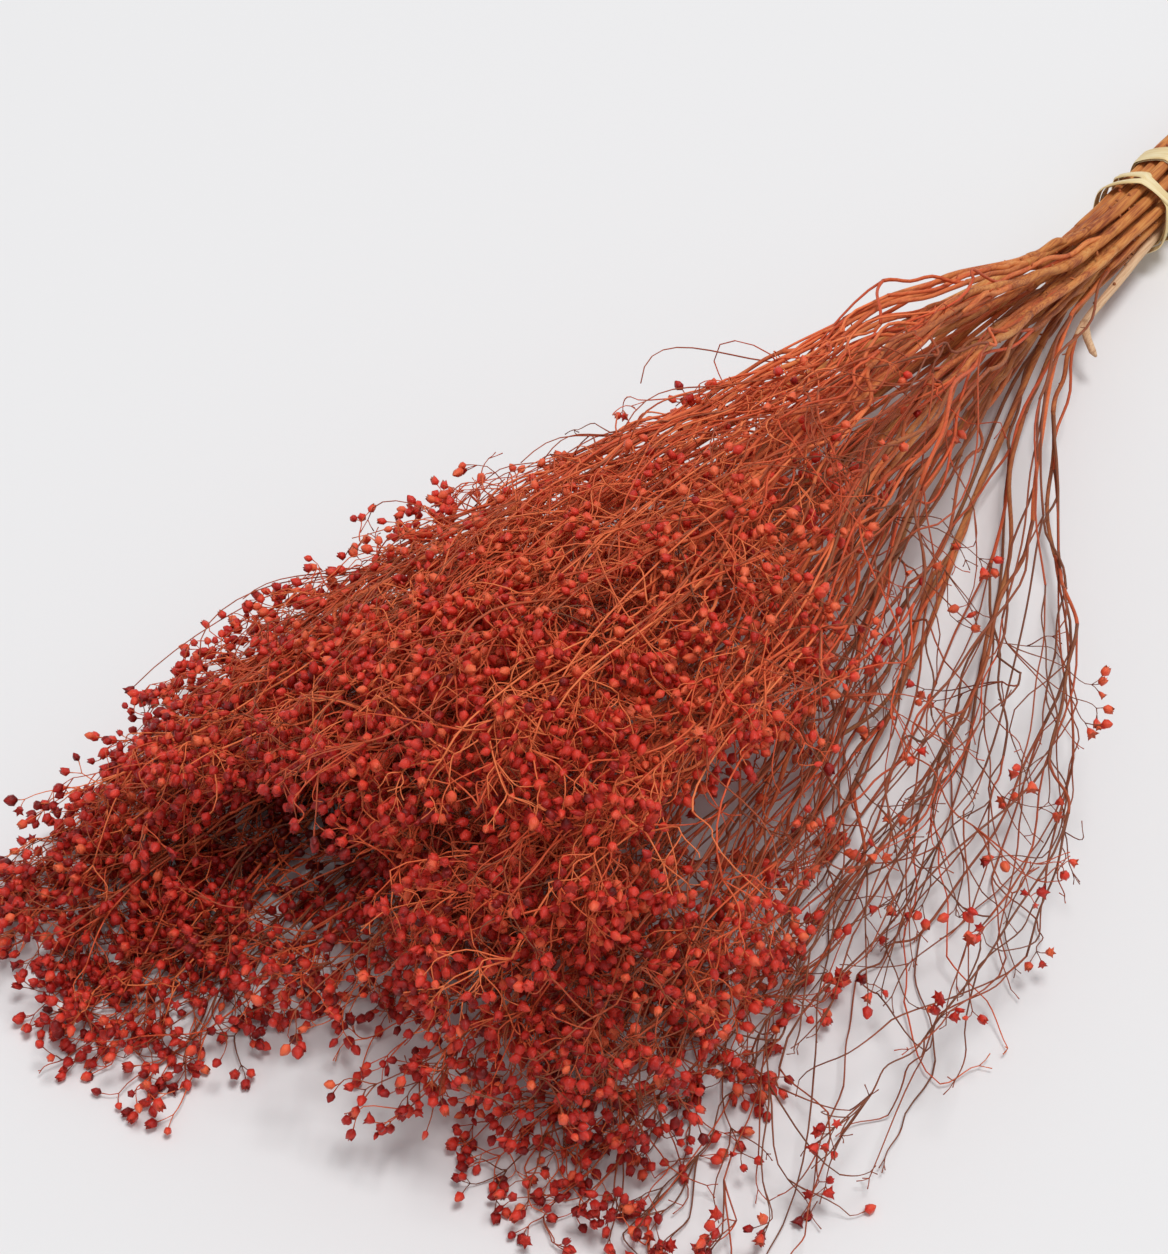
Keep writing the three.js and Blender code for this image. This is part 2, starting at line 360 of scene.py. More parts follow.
class Skins:
    """Collects closed skins that are all rings and two end points, and makes one mesh of them."""

    def __init__(self):
        """Starts with no skins."""
        self.points, self.corners, self.sizes, self.local = [], [], [], []
        self.cells, self.values, self.slots, self.count = [], [], [], 0

    def add(self, rings, first, last, values, slot, cell, first_slot=None):
        """rings is (skins, rings, sides, 3), first and last the end points (skins, 3). Side k of ring r
        joins side k + 1 and ring r + 1 by a four-cornered face, and a fan closes each end. cell is the
        length and girth of one skin's rectangle on the map, to the same scale for all."""
        skins, count, sides = rings.shape[:3]
        size = count * sides + 2
        r, k = np.meshgrid(np.arange(count - 1), np.arange(sides), indexing="ij")
        r, k = r.ravel(), k.ravel()
        n = (k + 1) % sides
        quads = np.stack([r * sides + k, r * sides + n, (r + 1) * sides + n, (r + 1) * sides + k], 1)
        square = np.stack([r, k], 1)[:, None] + np.array([[0, 0], [0, 1], [1, 1], [1, 0]])
        k = np.arange(sides)
        n = (k + 1) % sides
        low = np.stack([np.full(sides, size - 2), n, k], 1)
        high = np.stack([np.full(sides, size - 1), size - 2 - sides + k, size - 2 - sides + n], 1)
        one = np.concatenate([quads.ravel(), low.ravel(), high.ravel()])
        fan_low = np.stack([np.zeros((sides, 3)), k[:, None] + [0.5, 1, 0]], 2)
        fan_high = np.stack([np.full((sides, 3), count - 1), k[:, None] + [0.5, 0, 1]], 2)
        local = np.concatenate([part.reshape(-1, 2) for part in (square, fan_low, fan_high)])
        local = local / (count - 1, sides)
        points = np.concatenate([rings.reshape(skins, -1, 3), first[:, None], last[:, None]], 1)
        points[..., 2] = np.maximum(points[..., 2], TABLE_GAP)
        offset = self.count + size * np.arange(skins)
        self.points.append(points.reshape(-1, 3))
        self.corners.append((one[None] + offset[:, None]).ravel())
        self.sizes.append(np.tile(np.r_[np.full(len(quads), 4), np.full(2 * sides, 3)], skins))
        self.local.append(np.tile(local, (skins, 1)))
        self.cells.append((skins, len(one), *cell))
        slots = np.full((skins, len(quads) + 2 * sides), slot)
        if first_slot is not None:
            slots[:, len(quads):len(quads) + sides] = first_slot
        self.slots.append(slots.ravel())
        self.values.append({key: np.broadcast_to(v, (skins, size)).ravel() for key, v in values.items()})
        self.count += skins * size

    def tubes(self, paths, radii, sides, values, slot, cell):
        """Adds a round tube along each path, with one row of radii for all of them or one for each."""
        radii = np.broadcast_to(radii, paths.shape[:2])
        self.add(tube(paths, radii, sides), paths[:, 0], paths[:, -1], values, slot, cell)

    def mesh(self, name, materials):
        """One mesh of all the skins. Each skin has its own small rectangle of the map OFBake."""
        mesh = bpy.data.meshes.new(name)
        points = np.concatenate(self.points)
        corners = np.concatenate(self.corners)
        sizes = np.concatenate(self.sizes)
        mesh.vertices.add(len(points))
        mesh.vertices.foreach_set("co", points.astype(np.float32).ravel())
        mesh.loops.add(len(corners))
        mesh.loops.foreach_set("vertex_index", corners.astype(np.int32))
        mesh.polygons.add(len(sizes))
        mesh.polygons.foreach_set("loop_start", (np.cumsum(sizes) - sizes).astype(np.int32))
        mesh.polygons.foreach_set("material_index", np.concatenate(self.slots).astype(np.int32))
        mesh.polygons.foreach_set("use_smooth", np.ones(len(sizes), bool))
        mesh.update(calc_edges=True)
        for key in self.values[0]:
            values = np.concatenate([batch[key] for batch in self.values])
            attribute = mesh.attributes.new(key, "FLOAT", "POINT")
            attribute.data.foreach_set("value", values.astype(np.float32))
        uv = mesh.uv_layers.new(name="OFBake")
        uv.data.foreach_set("uv", self.layout().astype(np.float32).ravel())
        for material in materials:
            mesh.materials.append(material)
        return mesh

    def layout(self):
        """Rows of equal rectangles, batch by batch, all shrunk by one factor until they fit the square."""
        factor = 1.0
        while True:
            rows, y = [], 0.0
            for skins, _, wide, high in self.cells:
                per_row = max(int(1 / (wide * factor)), 1)
                rows.append((y, per_row))
                y += -(-skins // per_row) * high * factor
            if y <= 1:
                break
            factor *= 0.97
        out = []
        for (skins, corners, wide, high), (y, per_row), local in zip(self.cells, rows, self.local):
            i = np.arange(skins)
            corner = np.stack([(i % per_row) * wide, y / factor + (i // per_row) * high], 1) * factor
            inset = 0.06 + 0.88 * local.reshape(skins, corners, 2)
            out.append((corner[:, None] + inset * (wide * factor, high * factor)).reshape(-1, 2))
        return np.concatenate(out)


# ---- Dyed bark and dyed seed capsules ----------------------------------------------------------
# The dried stems and capsules are soaked in an orange-red dye. Thin twigs and capsules take it
# deeply. The thick stems keep their golden brown bark, with darker streaks along the grain.

def linear(colour):
    """sRGB hex to linear: below 0.04045 divided by 12.92, else ((c + 0.055) / 1.055) to the power 2.4."""
    c = np.array([int(colour[i:i + 2], 16) for i in (1, 3, 5)]) / 255
    c = np.where(c < 0.04045, c / 12.92, ((c + 0.055) / 1.055) ** 2.4)
    return (*c, 1.0)


def add_node(tree, kind, settings=None, links=None):
    """Adds one shader node, sets its properties or sockets by name or number, and links its sockets
    from other nodes' sockets, or from the first one of a node."""
    node = tree.nodes.new("ShaderNode" + kind)
    for key, value in (settings or {}).items():
        if isinstance(key, str) and hasattr(node, key):
            setattr(node, key, value)
        else:
            node.inputs[key].default_value = value
    for key, source in (links or {}).items():
        socket = source if isinstance(source, bpy.types.NodeSocket) else source.outputs[0]
        tree.links.new(socket, node.inputs[key])
    return node


def ramp(node, stops):
    """Gives a colour ramp its stops, as (place, sRGB hex)."""
    elements = node.color_ramp.elements
    while len(elements) < len(stops):
        elements.new(0.5)
    for element, (at, colour) in zip(elements, stops):
        element.position = at
        element.color = linear(colour)
    return node.outputs["Color"]


def new_material(name):
    """A material with an empty node tree, and that tree."""
    material = bpy.data.materials.new(name)
    material.use_nodes = True
    tree = material.node_tree
    tree.nodes.clear()
    return material, tree


def finish_surface(tree, settings, colour, height, strength, depth):
    """Bump of that strength and depth from the height, the shader with its settings, and the output."""
    bump = add_node(tree, "Bump", {"Strength": strength, "Distance": depth}, {"Height": height})
    shader = add_node(tree, "BsdfPrincipled", settings, {"Base Color": colour, "Normal": bump})
    add_node(tree, "OutputMaterial", links={"Surface": shader})


def dyed_bark():
    """Bark of a dried stem, dyed. wood goes from 0 on the last twigs to 1 on the stems, and dye says
    how much dye the branch took. Streaks follow the grain, 0.7 mm wide and 20 mm long. Where peel is
    1 the bark is gone and the pale wood shows."""
    material, tree = new_material("dyed_bark")
    where = add_node(tree, "TexCoord").outputs["Object"]
    grain = add_node(tree, "Mapping", {"Scale": (50, 1400, 1400)}, {"Vector": where})
    streak = add_node(tree, "TexNoise", {"Scale": 1.0, "Detail": 4.0, "Roughness": 0.6}, {"Vector": grain})
    patch = add_node(tree, "TexNoise", {"Scale": 55.0, "Detail": 2.0}, {"Vector": where})
    dye = add_node(tree, "Attribute", {"attribute_name": "dye"}).outputs["Fac"]
    wood = add_node(tree, "Attribute", {"attribute_name": "wood"}).outputs["Fac"]
    mixed = add_node(tree, "Math", {"operation": "MULTIPLY_ADD", 1: 0.5}, {0: streak, 2: dye})
    shifted = add_node(tree, "Math", {"operation": "SUBTRACT", 1: 0.25}, {0: mixed})
    twig = ramp(add_node(tree, "ValToRGB", links={"Fac": shifted}),
                [(0.0, "#7C4A34"), (0.3, "#A45234"), (0.6, "#D65531"), (1.0, "#F2824E")])
    stem_fac = add_node(tree, "Math", {"operation": "MULTIPLY_ADD", 1: 1.1}, {0: streak, 2: patch})
    stem_low = add_node(tree, "Math", {"operation": "SUBTRACT", 1: 0.55}, {0: stem_fac})
    stem = ramp(add_node(tree, "ValToRGB", links={"Fac": stem_low}),
                [(0.05, "#602A18"), (0.3, "#A05430"), (0.55, "#CE8244"), (0.9, "#E0A864")])
    colour = add_node(tree, "Mix", {"data_type": "RGBA"}, {"Factor": wood, 6: twig, 7: stem})
    inner_wood = ramp(add_node(tree, "ValToRGB", links={"Fac": streak}),
                      [(0.3, "#B98A66"), (0.5, "#DDB68F"), (0.75, "#EBCBA6")])
    peel = add_node(tree, "Attribute", {"attribute_name": "peel"}).outputs["Fac"]
    colour = add_node(tree, "Mix", {"data_type": "RGBA"},
                      {"Factor": peel, 6: colour.outputs[2], 7: inner_wood})
    finish_surface(tree, {"Roughness": 0.62, "IOR": 1.45, "Specular IOR Level": 0.35},
                   colour.outputs[2], streak, 0.55, 0.3 * MM)
    return material


def dyed_capsule():
    """Papery seed capsule, dyed, with a dry skin's satin shine. wood goes from 0 at the stalk to about
    1 at the crown, which is painted paler as a painted highlight while the stalk end is darker, and the skin
    is wrinkled about every 0.5 mm. dye also carries the painted shade of the hollow."""
    material, tree = new_material("dyed_seed_capsule")
    where = add_node(tree, "TexCoord").outputs["Object"]
    skin = add_node(tree, "TexNoise", {"Scale": 1900.0, "Detail": 3.0, "Roughness": 0.6}, {"Vector": where})
    patch = add_node(tree, "TexNoise", {"Scale": 420.0, "Detail": 1.0}, {"Vector": where})
    dye = add_node(tree, "Attribute", {"attribute_name": "dye"}).outputs["Fac"]
    tip = add_node(tree, "Attribute", {"attribute_name": "wood"}).outputs["Fac"]
    mixed = add_node(tree, "Math", {"operation": "MULTIPLY_ADD", 1: 0.35}, {0: patch, 2: dye})
    # Painted highlight: the colour gets paler towards the crown and darker towards the stalk.
    painted_tip_highlight = add_node(tree, "Math", {"operation": "MULTIPLY_ADD", 1: 0.24}, {0: tip, 2: mixed})
    shifted = add_node(tree, "Math", {"operation": "SUBTRACT", 1: 0.28}, {0: painted_tip_highlight})
    colour = ramp(add_node(tree, "ValToRGB", links={"Fac": shifted}),
                  [(0.0, "#520C0A"), (0.3, "#B0201A"), (0.65, "#E43F2E"), (1.0, "#F26C44")])
    finish_surface(tree, {"Roughness": 0.32, "IOR": 1.42, "Specular IOR Level": 0.42},
                   colour, skin, 0.8, 0.35 * MM)
    return material


def cut_end_wood():
    """Wood of a stem cut across. wood goes from 0 at the dark pith to 1 under the bark, which shows as
    a thin brown rim, and the pores are 0.3 mm apart."""
    material, tree = new_material("cut_end_wood")
    where = add_node(tree, "TexCoord").outputs["Object"]
    pores = add_node(tree, "TexNoise", {"Scale": 3300.0, "Detail": 2.0}, {"Vector": where})
    out = add_node(tree, "Attribute", {"attribute_name": "wood"}).outputs["Fac"]
    mixed = add_node(tree, "Math", {"operation": "MULTIPLY_ADD", 1: 0.2}, {0: pores, 2: out})
    low = add_node(tree, "Math", {"operation": "SUBTRACT", 1: 0.1}, {0: mixed})
    colour = ramp(add_node(tree, "ValToRGB", links={"Fac": low}),
                  [(0.08, "#6E4226"), (0.25, "#D6AE7C"), (0.78, "#E2C090"), (0.95, "#8A4A28")])
    finish_surface(tree, {"Roughness": 0.8}, colour, pores, 0.5, 0.2 * MM)
    return material


bark = dyed_bark()
capsule_skin = dyed_capsule()
cut_wood = cut_end_wood()


# ---- The nineteen sprays -----------------------------------------------------------------------
# Each spray is one piece: a stem cut at the butt, its forks and twigs, short stalks, and capsules.
# One stem has lost its bark past the tie, and three low sprays are a loose net of nearly bare twigs.

BARK, CAPSULE, CUT_WOOD = 0, 1, 2
PEELED = 8
BOW = (235 * MM, 85 * MM)
TIP_BOW = (440 * MM, 60 * MM)
PEELED_BEND = (45 * MM, 30 * MM)
PEELED_OUT = np.array([1.2, 2.4]) * MM


def rise(x, low, high, most=1.0):
    """From 0 at low to 1 at high in a straight line, no less than 0 and no more than most."""
    return np.clip((x - low) / (high - low), 0, most)


def bowed_course(number, bow):
    """The spray's course, with its middle moved to the front by two bell curves of s. The peeled stem
    is also bent down and out just past the tie, by a third one."""
    stations, middle, half = spray_course(f"spray_{number:02d}")
    middle[:, 0] -= bow * bell(stations, *BOW)
    middle[:, 0] -= 0.2 * bow * bell(stations, *TIP_BOW)
    if number == PEELED:
        middle -= PEELED_OUT * bell(stations, *PEELED_BEND)[:, None]
    return stations, middle, half


BUNCH_MIDDLE = np.array([(cad_box[0][1] + cad_box[1][1]) / 2, 0.35 * cad_box[1][2]])
PLUME_START = 150 * MM
EDGE_KEPT = 0.30
RAMBLE = (0.10, 0.3)
SCATTER = np.array([2.0, 2.6, 2.2]) * MM
SINK = 7.0 * MM
SINK_LOAD = 3
SINK_END = 210 * MM
RIM_DEPTH = 1.0 * MM


def lay_out(course, outward, tufts, begin, first_fork, full, bare, unruly):
    """Skeleton of a spray: its tufts, whether each is past an edge, and its forks' s, parents, loads
    and points. Most tufts past an edge are missing, but on loose sprays none is. Light forks scatter
    most, heavy ones sink inwards so that fine twigs make the outside, and all stay in the bunch."""
    reach = course[0][-1]
    ends = scatter_tufts(tufts, begin, reach, outward)
    spots = place(course, ends[:, 0], ends[:, 1:])
    kept = ~broken_off(spots)
    past_edge = spots[:, 1] < np.interp(ends[:, 0], *FRONT_EDGE.T)
    past_edge |= spots[:, 1] > np.interp(ends[:, 0], *BACK_EDGE.T)
    kept &= ~past_edge | (draw.random(tufts) < EDGE_KEPT) | (full < 1)
    ends, past_edge = ends[kept], past_edge[kept]
    places, parents, loads = fork(ends, first_fork, RAMBLE[0] + RAMBLE[1] * bare)
    points = place(course, places[:, 0], places[:, 1:])
    free = np.clip(1.1 - 4 * loads / tufts, 0.1, 1)[:, None]
    points += draw.normal(size=points.shape) * free * (1 + bare + 1.5 * unruly) * SCATTER
    sunk = np.clip(loads - 1, 0, SINK_LOAD)[:, None] / SINK_LOAD * rise(places[:, :1], PLUME_START, SINK_END)
    points[:, 1:] -= sunk * SINK * np.maximum(outward, [-1, 0])
    points[0] = place(course, places[:1, 0], np.zeros((1, 2)))[0]
    low, high = room(points, reach, 0, True)
    in_plume = (places[:, 0] > PLUME_START)[:, None]
    points = np.where(in_plume, under_rim(np.clip(points, low, high), -RIM_DEPTH), points)
    points = np.clip(points, [OUTER_LOW[0], OUTER_LOW[1], LOWEST], OUTER_HIGH)
    last = places[loads == 1]
    nearest = np.linalg.norm(last[:, None] - ends[None], axis=2).argmin(1)
    return places[:, 0], parents, loads, points, past_edge[nearest]


def headings(points, parents, loads, unruly):
    """The way from its parent to each fork but the first, and the way in which each fork runs on: the
    way it was reached plus 0.8 of the way to its children, weighted by the square roots of their
    loads, and shaken, most on light twigs and unruly sprays."""
    arrive = unit(points[1:] - points[parents[1:]])
    onward = np.zeros_like(points)
    np.add.at(onward, parents[1:], arrive * loads[1:, None] ** 0.5)
    way = np.concatenate([[(-1.0, 0.0, 0.0)], arrive])
    way = unit(way + 0.8 * unit(onward))
    light = np.clip(1.0 - loads / 16, 0.1, 1)[:, None]
    return arrive, unit(way + draw.normal(size=way.shape) * (0.15 + 0.6 * unruly) * light)


def looks(dye, wood, peel=0.0):
    """What the bark and capsule materials read, each one number or a row for each skin."""
    return {"dye": dye, "wood": wood, "peel": peel}


def peg(root, tip, at):
    """Straight short paths from root to tip, with points at the given shares of the way."""
    return root[:, None] + (tip - root)[:, None] * np.array(at)[None, :, None]


STEM_STEPS = 40
STEM_SIDES = 12
WEAVE = 1.1 * MM
HELD_LENGTH = 50 * MM
CUT_DOME = 0.3 * MM
BARK_END = (-12 * MM, -2 * MM)
NODULES = 14
NODULE_RADII = np.array([0.9, 0.62, 0.45]) * MM
TORN_ROUTE = np.array([[0, 0, 0], [-3, -2.2, 0], [-6, -5, -1], [-9, -9, -2.5], [-10, -11, -3]]) * MM
TORN_RADII = np.array([1.7, 1.6, 1.4, 1.3, 0.5]) * MM


def grow_stem(skins, number, course, first_fork, end_radius, dye):
    """The stem from its cut butt to the first fork. It weaves by sine waves of s, hardly at all in the
    tie, is thicker and thinner by two more, and narrows to the fork with the power 0.4. Nodules left
    by lost leaves stand out of it, and the peeled stem has a torn stub near its end."""
    t = np.linspace(0, 1, STEM_STEPS)
    butt = course[0][0]
    s = butt + (first_fork - butt) * t
    path = place(course, s, np.zeros((STEM_STEPS, 2)))[None]
    free = np.maximum(rise(np.abs(s), 0, HELD_LENGTH), 0.12) * np.clip((1 - t) * 5, 0, 1)
    weave = np.sin(2 * np.pi * (np.outer([0.0, 1.3, 1.1], t) + draw.random((3, 1))))
    path += (weave * [[0.0], [1.0], [0.8]] * free).T * WEAVE
    thick = STEM_RADIUS * (1 + 0.05 * np.sin(t * 41 + number) + 0.04 * np.sin(t * 17 + 2 * number))
    thick = thick * (1 - t) ** 0.4 + end_radius * (1 - (1 - t) ** 0.4)
    from_pith = np.ones((1, STEM_STEPS * STEM_SIDES + 2))
    from_pith[0, -2] = 0
    peel = np.zeros_like(from_pith)
    if number == PEELED:
        peel[0, :-2] = np.repeat(rise(s, *BARK_END), STEM_SIDES)
    skins.add(tube(path, thick[None], STEM_SIDES), path[:, 0] + [CUT_DOME, 0, 0], path[:, -1],
              looks(dye, from_pith, peel), BARK, (0.5, 0.03), first_slot=CUT_WOOD)
    spot = draw.integers(4, 36, NODULES)
    root = path[0, spot]
    around = draw.uniform(0, 2 * np.pi, NODULES)
    away = unit(np.stack([np.full(NODULES, -0.5), np.cos(around), np.sin(around)], 1))
    tip = root + away * (thick[spot] + draw.uniform(0.5, 1.5, NODULES) * MM)[:, None]
    skins.tubes(peg(root, tip, [0, 0.7, 1]), NODULE_RADII, 6, looks(dye * 0.4, 0.35), BARK, (0.01, 0.01))
    if number == PEELED:
        torn = (path[0, -3] + TORN_ROUTE)[None]
        skins.tubes(torn, TORN_RADII, 10, looks(dye, 1.0, 1.0), BARK, (0.02, 0.02))


BRANCH_RADIUS = 1.0 * MM
LONG_SPAN = 25 * MM
TWIG_BOTTOM = 1.2 * MM
STUB_REACH = 1.4 * MM
STUB_PARENT = 0.5 * MM


def grow_twigs(skins, parents, points, radius, arrive, way, dye, wood, roam):
    """Every fork's twig from its parent, a cubic that leaves between the two ways. It narrows over its
    first third and swells under the next fork. Thick ones have stubs where side twigs broke off."""
    folk = parents[1:]
    thick = radius[folk] > BRANCH_RADIUS
    long = np.linalg.norm(points[1:] - points[folk], axis=1) > LONG_SPAN
    batches = (
        (thick, 14, 8, (0.2, 0.018)),
        (~thick & long, 12, 5, (0.08, 0.010)),
        (~thick & ~long, 6, 5, (0.04, 0.010)),
    )
    for chosen, steps, sides, cell in batches:
        kids, folks = np.flatnonzero(chosen) + 1, folk[chosen]
        if not len(kids):
            continue
        leave = unit(0.75 * way[folks] + arrive[chosen] + 0.10 * draw.normal(size=(len(kids), 3)))
        paths = wander(curves(points[folks], points[kids], leave, way[kids], steps), roam)
        paths[:, :, 2] = np.maximum(paths[:, :, 2], TWIG_BOTTOM)
        t = np.linspace(0, 1, steps + 1)
        start = np.minimum(radius[folks], 1.2 * radius[kids])[:, None]
        width = start + (radius[kids][:, None] - start) * np.minimum(t * 3, 1)
        width = width * (1 + 0.12 * bell(t, 0.96, 0.06))
        skins.tubes(paths, width, sides, looks(dye[kids][:, None], wood[kids][:, None]), BARK, cell)
        wide = np.flatnonzero(radius[kids] > STUB_PARENT)
        if not len(wide):
            continue
        row, spot = draw.choice(wide, len(wide)), draw.integers(1, steps, len(wide))
        root = paths[row, spot]
        far = width[row, spot] + STUB_REACH * draw.uniform(0.1, 1.6, len(row))
        tip = root + unit(draw.normal(size=root.shape) + [-0.7, 0, 0.4]) * far[:, None]
        thin = (0.32 * width[row, spot])[:, None] * np.array([1.4, 1.0, 0.8])
        values = looks(dye[kids[row]][:, None] * 0.6, wood[kids[row]][:, None] * 0.5)
        skins.tubes(peg(root, tip, [0, 0.6, 1]), thin, 5, values, BARK, (0.01, 0.01))


EDGE_BARE = 0.65


def thinned(points, past_edge):
    """Share of the shoots missing at each twig end: it rises to the back upper edge of the bunch and
    to the tie, where the twigs are worn bare, and is EDGE_BARE past the edge of the dense part."""
    s = TIE_X - points[:, 0]
    share = rise(points @ RIM_UP / np.interp(s, *RIM.T), 0.78, 0.92)
    share *= rise(s, 360 * MM, 240 * MM, 0.8)
    share = np.maximum(share, rise(s, 222 * MM, 142 * MM, 0.75))
    return np.maximum(share, past_edge * EDGE_BARE)


RIPE_NET = (370 * MM, 410 * MM)
DROOP_WAY = np.array([-0.45, -0.55, -0.7])
ROOM_SPREAD = 4 * MM
ROOM_STEP = 3 * MM
SHOOT_BOTTOM = 1.0 * MM
SHOOTS = (
    # shares of 1, 2, 3 ... shoots, tilt and its spread, least and greatest length, share twice as
    # long, and radius, first of the shoots on the twigs and then of those on the shoots
    ([0.0, 0.35, 0.45, 0.20], (0.45, 0.18), 9 * MM, 18 * MM, 0.20, 0.26 * MM),
    ([0.05, 0.50, 0.45], (0.60, 0.22), 5 * MM, 11 * MM, 0.10, 0.21 * MM),
)
STALK_SHARES = [0.16, 0.40, 0.44]
STALK_LENGTH = (2.2, 5.5)
STALK_TILT = (0.55, 0.25)
STALK_RADII = np.array([0.19, 0.15, 0.22]) * MM


def grow_shoots(skins, base, way, tone, past_edge, reach, outward, full, bare, unruly):
    """Two rounds of shoots and one of stalks on the twig ends. Full is the share of ends with a whole
    set, and bare the share without capsules. Unruly shoots droop to the front. Gives each capsule's
    seat, its way, and whether it is loose, past an edge or on a loose spray."""
    loose = past_edge | (full < 1)
    if full < 1:
        ripe = rise(TIE_X - base[:, 0], *RIPE_NET)
        full, bare = full + (0.9 - full) * ripe, bare * (1 - 0.8 * ripe)
    thin = thinned(base, past_edge)
    full, bare = np.minimum(full, 1 - thin), np.maximum(bare, thin)
    droop = DROOP_WAY * np.clip(unruly - 0.25, 0, 1) * 2.2
    aside = np.array([0, *outward]) * 0.25
    lead = unit(way + aside + (0.10 + 0.7 * unruly) * draw.normal(size=way.shape))
    slack = draw.normal(0, ROOM_SPREAD, len(base))
    for shares, tilt, near, far, long, thick in SHOOTS:
        whole = draw.random(len(base)) < full
        counts = np.where(whole, draw.choice(len(shares), size=len(base), p=shares) + 1, 1)
        limit = np.repeat(far + 0.9 * (1 - full) * far, counts)
        stretch = draw.uniform(near / far, 1, len(limit)) * limit
        stretch *= np.where(draw.random(len(limit)) < long, 2.0, 1)
        spread = np.where(loose, 0.65, 1)
        corners = room(base, reach, slack, loose)
        owner, aim, tips = sprout(base, lead, counts, tilt, spread, stretch, *corners)
        bend = unit(aim + droop + (0.2 + 0.8 * unruly) * draw.normal(size=aim.shape))
        paths = curves(base[owner], tips, unit(0.6 * lead[owner] + aim), bend, 5)
        paths[:, :, 2] = np.maximum(paths[:, :, 2], SHOOT_BOTTOM)
        tone = np.clip(tone[owner] + draw.normal(0, 0.08, len(tips)), 0, 1)
        radii = thick * np.linspace(1.1, 0.8, 6)
        skins.tubes(paths, radii, 4, looks(tone[:, None], 0.0), BARK, (0.03, 0.008))
        base, lead, slack = paths[:, -1], bend, slack[owner] + ROOM_STEP
        full, bare, loose = full[owner], bare[owner], loose[owner]

    counts = draw.choice([1, 2, 3], size=len(base), p=STALK_SHARES)
    seeded = draw.random(len(base)) > bare
    stretch = draw.uniform(*STALK_LENGTH, counts.sum()) * MM
    corners = room(base, reach, slack, loose)
    owner, aim, tips = sprout(base, lead, counts, STALK_TILT, np.ones(len(base)), stretch, *corners)
    arrive = unit(aim + 0.25 * draw.normal(size=aim.shape))
    paths = curves(base[owner], tips, unit(0.6 * lead[owner] + aim), arrive, 2)
    tone = np.clip(tone[owner] + 0.1, 0, 1)[:, None]
    skins.tubes(paths, STALK_RADII, 3, looks(tone, 0.0), BARK, (0.014, 0.006))
    seats = seeded[owner]
    return tips[seats], arrive[seats], loose[owner][seats]


STRAYS = 5
STRAY_FROM = (80 * MM, 330 * MM)
STRAY_STEPS = 12
STRAY_DYE = 0.35


def grow_strays(skins, s, points):
    """Single long twigs that leave the upper forks, arch a few millimetres over the back upper edge and
    land further on. Gives the ends and ways of every second one, which has a capsule."""
    near_rim = points @ RIM_UP > 0.8 * np.interp(s, *RIM.T)
    upper = np.flatnonzero((s > STRAY_FROM[0]) & (s < STRAY_FROM[1]) & near_rim)
    if not len(upper):
        return np.zeros((0, 3)), np.zeros((0, 3))
    root = points[draw.choice(upper, STRAYS)]
    tip = root + np.stack([draw.uniform(-110, -50, STRAYS), *draw.normal(0, 7, (2, STRAYS))], 1) * MM
    over = np.interp(TIE_X - tip[:, 0], *RIM.T) + draw.uniform(1, 7, STRAYS) * MM - tip @ RIM_UP
    tip = np.clip(tip + over[:, None] * RIM_UP / (RIM_UP @ RIM_UP), OUTER_LOW, OUTER_HIGH)
    leave = unit([-1, 0.10, 0.16] + 0.15 * draw.normal(size=tip.shape))
    land = unit([-1, -0.15, -0.35] + 0.35 * draw.normal(size=tip.shape))
    paths = wander(curves(root, tip, leave, land, STRAY_STEPS), 5 * MM)
    too_high = np.maximum(paths[:, :, 2].max(1) - OUTER_HIGH[2], 0)
    paths[:, :, 2] -= too_high[:, None] * np.sin(np.linspace(0, np.pi, STRAY_STEPS + 1))
    radii = np.linspace(0.30, 0.20, STRAY_STEPS + 1) * MM
    skins.tubes(paths, radii, 4, looks(STRAY_DYE, 0.0), BARK, (0.08, 0.008))
    return paths[::2, -1], land[::2]


CAPSULE_LENGTH = 3.1 * MM
CAPSULE_RADIUS = 1.31 * MM
RIBS = 5
SHUT = ([0.0, 0.28, 0.68, 0.98], [0.26, 0.97, 0.84, 0.26], [0.0, 0.09, 0.13, 0.25])
CROWNED = ([0.0, 0.28, 0.66, 1.02], [0.28, 0.97, 0.84, 0.45], [0.0, 0.10, 0.15, 0.50])
OPEN = ([0.0, 0.28, 0.56, 0.80], [0.28, 0.76, 0.88, 1.15], [0.0, 0.08, 0.16, 0.34])
DIMPLE = np.array([1.10, 0.84, 0.45])


def capsule_rings(base, way, length, width, kind, roll):
    """Capsules, each four rings of twice RIBS points. A ring's height and radius come from the kind's
    profile, and every second point of it is drawn in and its neighbours out by the profile's ribs."""
    profile = np.array([SHUT, CROWNED, OPEN])[kind]
    sides = 2 * RIBS
    angle = 2 * np.pi * np.arange(sides) / sides + roll[:, None]
    side, up = square_to(way)
    circle = side[:, None] * np.cos(angle)[..., None] + up[:, None] * np.sin(angle)[..., None]
    in_out = 1 - 2 * (np.arange(sides) % 2)
    tall, wide, ribs = profile[:, 0, :, None], profile[:, 1, :, None], profile[:, 2, :, None]
    radius = wide * (1 + ribs * in_out) * width[:, None, None]
    height = (tall + 0.1 * ribs * in_out) * length[:, None, None]
    rings = base[:, None, None] + way[:, None, None] * height[..., None]
    rings = rings + circle[:, None] * radius[..., None]
    middle = base + way * (DIMPLE[kind] * length)[:, None]
    return rings, base - way * 0.03 * length[:, None], middle, profile[:, 0]


OPEN_SHARE = (0.05, 0.45)
STARVED = (0.07, 0.6)
RIPENING = (280 * MM, 450 * MM)


